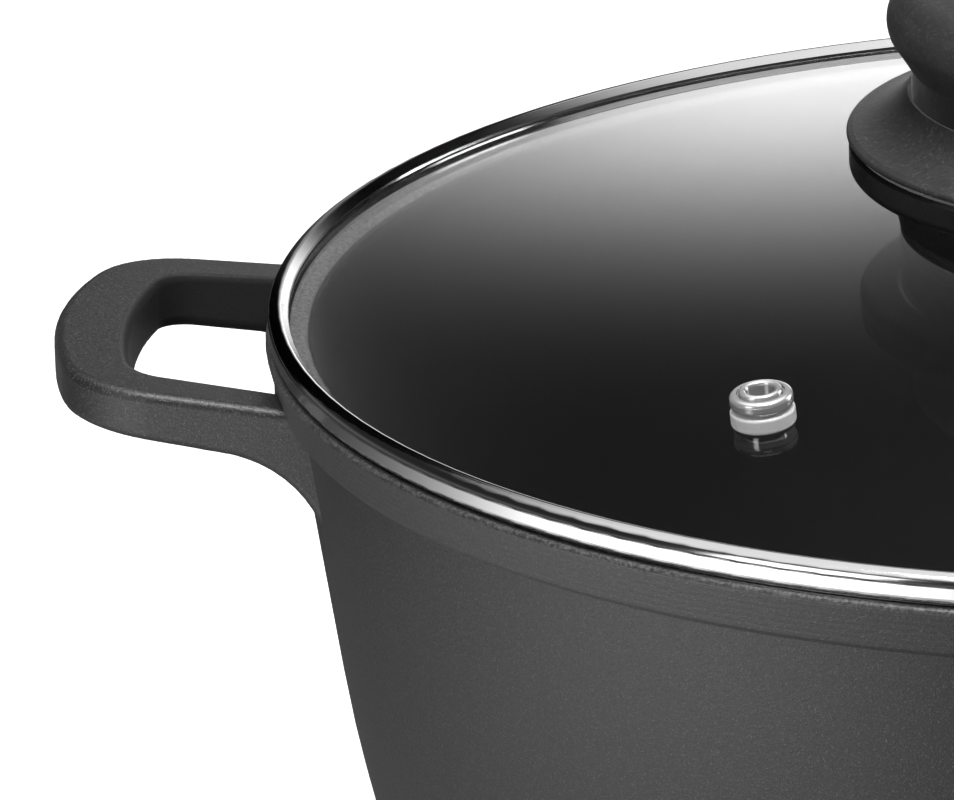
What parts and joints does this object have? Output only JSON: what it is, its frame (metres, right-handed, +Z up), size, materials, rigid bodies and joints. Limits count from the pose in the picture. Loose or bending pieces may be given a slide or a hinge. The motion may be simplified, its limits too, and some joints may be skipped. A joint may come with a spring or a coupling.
{
  "type": "lidded casserole",
  "caption": "Round tapering cast pot with a loop handle on each side, and a domed glass lid with a steel rim band, a steam vent and a wide stepped knob.",
  "frame": {"origin": "centre of the underside, on the surface the pot stands on", "axes": "+X towards one handle, +Z up through the knob, +Y across the handles"},
  "size_m": [0.3118, 0.2524, 0.1585],
  "materials": {
    "coated_casting": "matte charcoal coating on die-cast aluminium",
    "base_steel": "turned steel disc",
    "clear_glass": "clear tempered glass",
    "polished_steel": "polished stainless steel",
    "plain_steel": "plain stainless steel",
    "silicone": "black silicone",
    "matte_bakelite": "matte black moulding with an orange-peel grain",
    "gloss_bakelite": "glossier black moulding",
    "brass": "plain brass"
  },
  "bodies": {
    "pot": {"pot_body": "coated_casting", "base_plate": "base_steel"},
    "lid": {"lid_glass": "clear_glass", "lid_band": "polished_steel", "vent_eyelet": "polished_steel", "vent_collar": "polished_steel", "vent_seal": "silicone", "vent_backing": "plain_steel", "knob_gasket": "silicone", "knob_base": "gloss_bakelite", "knob_rim": "gloss_bakelite", "knob_skirt": "matte_bakelite", "knob_collar": "gloss_bakelite", "knob_grip": "matte_bakelite", "knob_insert": "brass", "screw_seal": "silicone", "screw_washer": "plain_steel", "spring_washer": "plain_steel", "knob_screw": "plain_steel"}
  },
  "joints": [
    {"name": "lid_lift", "type": "slide", "parent": "pot", "child": "lid", "axis": [0, 0, 1], "range_m": [0, 0.12]}
  ]
}
